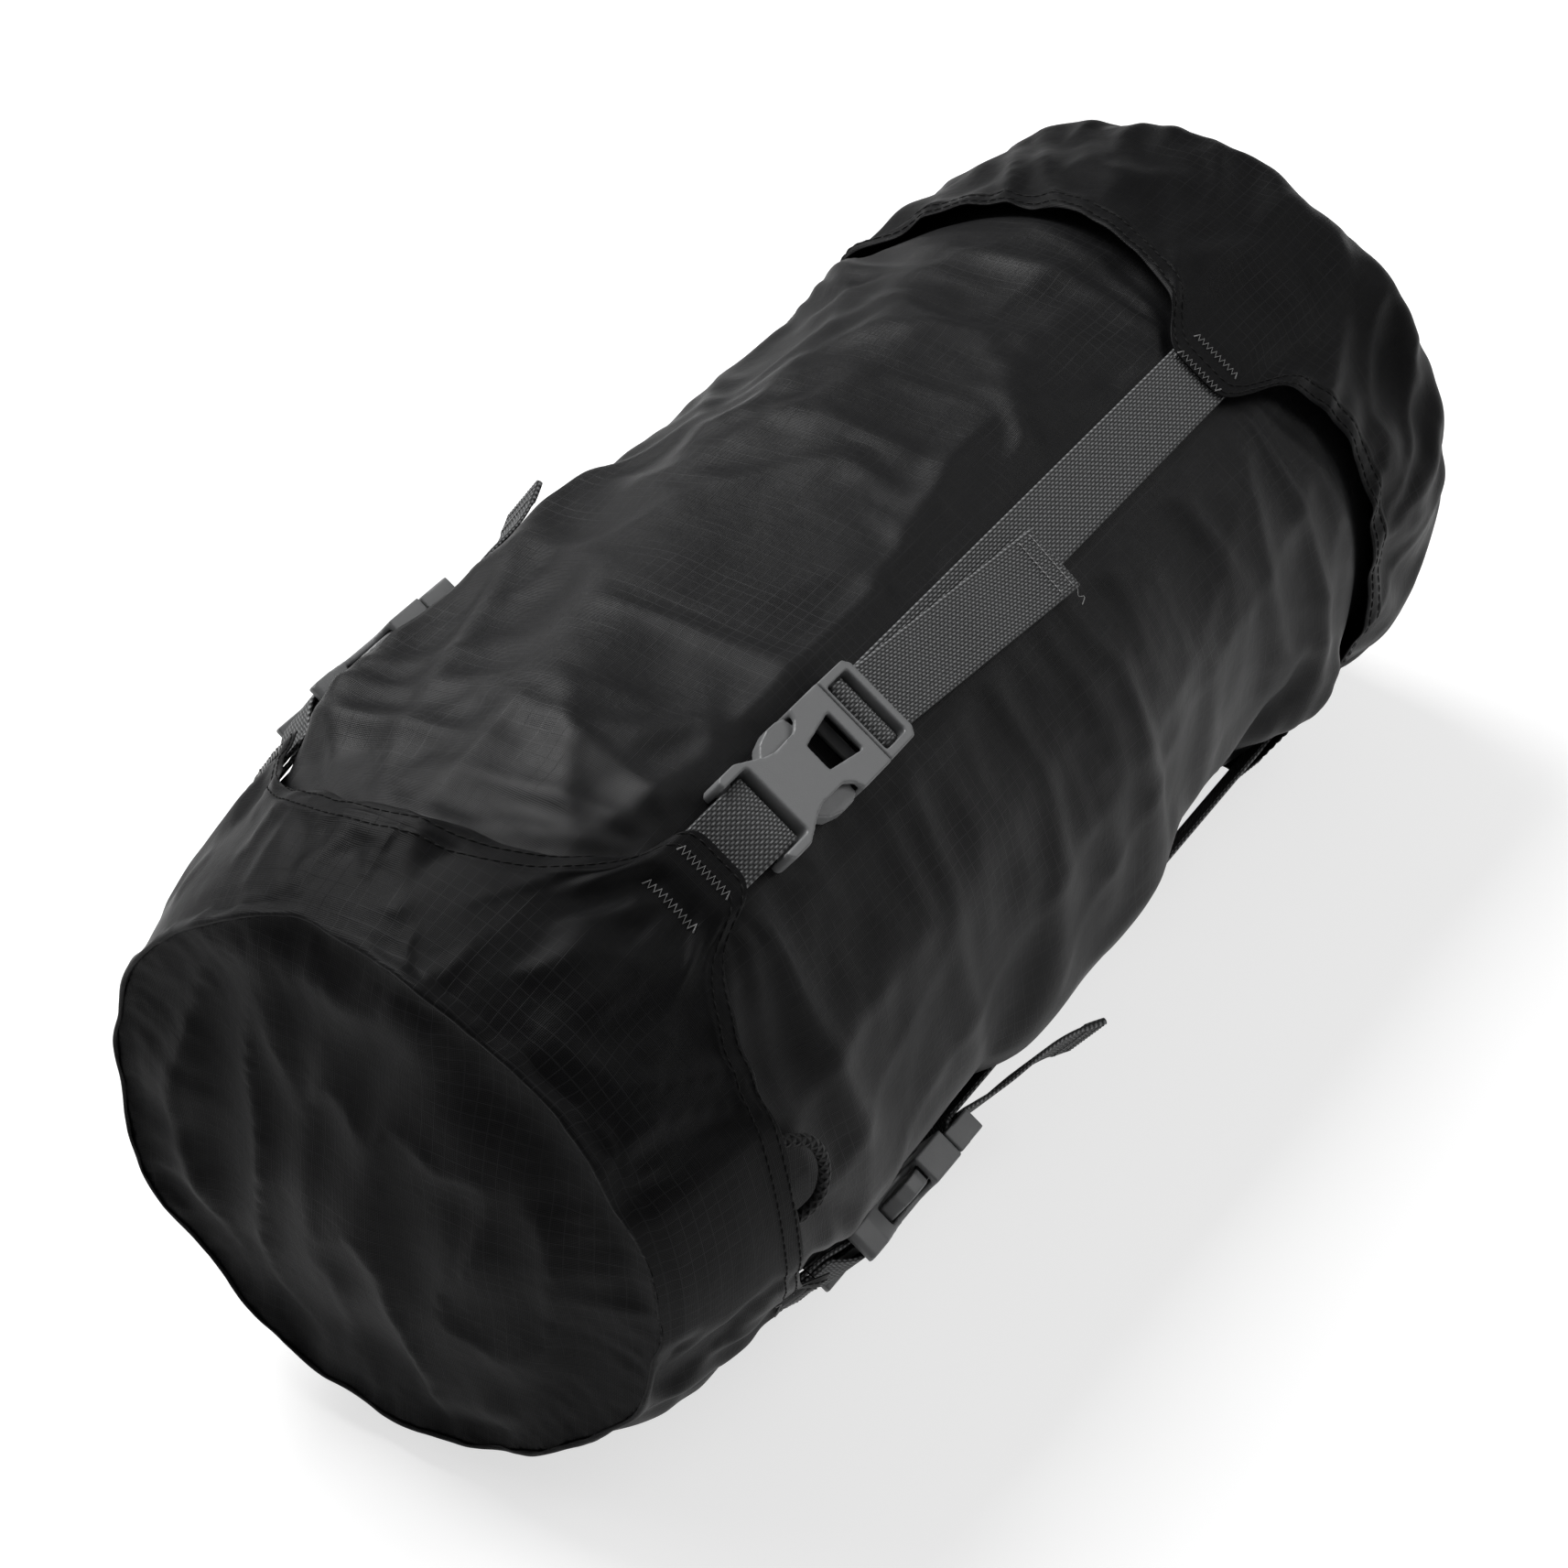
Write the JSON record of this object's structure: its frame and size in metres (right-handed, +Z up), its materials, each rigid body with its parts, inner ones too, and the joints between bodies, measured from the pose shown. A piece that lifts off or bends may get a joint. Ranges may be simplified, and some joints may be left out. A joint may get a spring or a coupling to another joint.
{
  "type": "compression stuff sack",
  "caption": "Packed cylindrical nylon stuff sack lying on its side, with a pull-off lid cap, webbing compression straps, side-release buckles and a drawcord mouth.",
  "frame": {"origin": "on the surface it lies on, under the middle of the sack's bounding box (free cord loop left out)", "axes": "+X along the sack from lid to base, +Z up, one strap faces up towards -Y"},
  "size_m": [0.446, 0.1956, 0.1907],
  "materials": {
    "nylon_black": "silky ripstop",
    "webbing_grey": "woven webbing",
    "acetal_grey": "fine matte moulding",
    "cord_black": "braided cord",
    "spring_steel": "drawn wire"
  },
  "bodies": {
    "sack": {"body_tube": "nylon_black", "mouth_casing": "nylon_black", "base_skirt": "nylon_black", "base_panel": "nylon_black", "drawcord_ring": "cord_black", "drawcord_loop": "cord_black", "cord_lock_barrel": "acetal_grey", "cord_lock_spring": "spring_steel", "top_strap": "webbing_grey", "front_strap": "webbing_grey", "under_strap": "webbing_grey", "back_strap": "webbing_grey"},
    "lid": {"lid_skirt": "nylon_black", "lid_panel": "nylon_black", "top_lid_tab": "webbing_grey", "front_lid_tab": "webbing_grey", "under_lid_tab": "webbing_grey", "back_lid_tab": "webbing_grey", "top_buckle_socket": "acetal_grey", "front_buckle_socket": "acetal_grey", "under_buckle_socket": "acetal_grey", "back_buckle_socket": "acetal_grey"},
    "cord_lock_button": {"cord_lock_plunger": "acetal_grey"},
    "top_plug": {"top_strap_tail": "webbing_grey", "top_buckle_frame": "acetal_grey"},
    "top_latch_left": {"top_latch_left": "acetal_grey"},
    "top_latch_right": {"top_latch_right": "acetal_grey"},
    "front_plug": {"front_strap_tail": "webbing_grey", "front_buckle_frame": "acetal_grey"},
    "front_latch_left": {"front_latch_left": "acetal_grey"},
    "front_latch_right": {"front_latch_right": "acetal_grey"},
    "under_plug": {"under_strap_tail": "webbing_grey", "under_buckle_frame": "acetal_grey"},
    "under_latch_left": {"under_latch_left": "acetal_grey"},
    "under_latch_right": {"under_latch_right": "acetal_grey"},
    "back_plug": {"back_strap_tail": "webbing_grey", "back_buckle_frame": "acetal_grey"},
    "back_latch_left": {"back_latch_left": "acetal_grey"},
    "back_latch_right": {"back_latch_right": "acetal_grey"}
  },
  "joints": [
    {"name": "lid_pull", "type": "slide", "parent": "sack", "child": "lid", "axis": [1, 0, 0], "range_m": [-0.2, 0]},
    {"name": "top_plug_slide", "type": "slide", "parent": "sack", "child": "top_plug", "axis": [1, 0, 0], "range_m": [0, 0.03], "deforming": ["top_strap", "top_latch_left", "top_latch_right"]},
    {"name": "top_latch_left_press", "type": "hinge", "parent": "top_plug", "child": "top_latch_left", "pos_m": [-0.083, -0.04937, 0.17812], "axis": [0, -0.5678, 0.8231], "range_deg": [0, 7], "stiffness_Nm_per_rad": 0.3},
    {"name": "top_latch_right_press", "type": "hinge", "parent": "top_plug", "child": "top_latch_right", "pos_m": [-0.083, -0.06204, 0.16938], "axis": [0, 0.5678, -0.8231], "range_deg": [0, 7], "stiffness_Nm_per_rad": 0.3},
    {"name": "front_plug_slide", "type": "slide", "parent": "sack", "child": "front_plug", "axis": [1, 0, 0], "range_m": [0, 0.03], "deforming": ["front_strap", "front_latch_left", "front_latch_right"]},
    {"name": "front_latch_left_press", "type": "hinge", "parent": "front_plug", "child": "front_latch_left", "pos_m": [-0.083, -0.08512, 0.04363], "axis": [0, -0.8231, -0.5678], "range_deg": [0, 7], "stiffness_Nm_per_rad": 0.3},
    {"name": "front_latch_right_press", "type": "hinge", "parent": "front_plug", "child": "front_latch_right", "pos_m": [-0.083, -0.07638, 0.03096], "axis": [0, 0.8231, 0.5678], "range_deg": [0, 7], "stiffness_Nm_per_rad": 0.3},
    {"name": "under_plug_slide", "type": "slide", "parent": "sack", "child": "under_plug", "axis": [1, 0, 0], "range_m": [0, 0.03], "deforming": ["under_strap", "under_latch_left", "under_latch_right"]},
    {"name": "under_latch_left_press", "type": "hinge", "parent": "under_plug", "child": "under_latch_left", "pos_m": [-0.083, 0.04937, 0.00788], "axis": [0, 0.5678, -0.8231], "range_deg": [0, 7], "stiffness_Nm_per_rad": 0.3},
    {"name": "under_latch_right_press", "type": "hinge", "parent": "under_plug", "child": "under_latch_right", "pos_m": [-0.083, 0.06204, 0.01662], "axis": [0, -0.5678, 0.8231], "range_deg": [0, 7], "stiffness_Nm_per_rad": 0.3},
    {"name": "back_plug_slide", "type": "slide", "parent": "sack", "child": "back_plug", "axis": [1, 0, 0], "range_m": [0, 0.03], "deforming": ["back_strap", "back_latch_left", "back_latch_right"]},
    {"name": "back_latch_left_press", "type": "hinge", "parent": "back_plug", "child": "back_latch_left", "pos_m": [-0.083, 0.08512, 0.14237], "axis": [0, 0.8231, 0.5678], "range_deg": [0, 7], "stiffness_Nm_per_rad": 0.3},
    {"name": "back_latch_right_press", "type": "hinge", "parent": "back_plug", "child": "back_latch_right", "pos_m": [-0.083, 0.07638, 0.15504], "axis": [0, -0.8231, -0.5678], "range_deg": [0, 7], "stiffness_Nm_per_rad": 0.3},
    {"name": "cord_lock_press", "type": "slide", "parent": "sack", "child": "cord_lock_button", "axis": [0, -0.9903, 0.1392], "range_m": [0, 0.0025], "stiffness_N_per_m": 500, "deforming": ["cord_lock_spring"]}
  ]
}
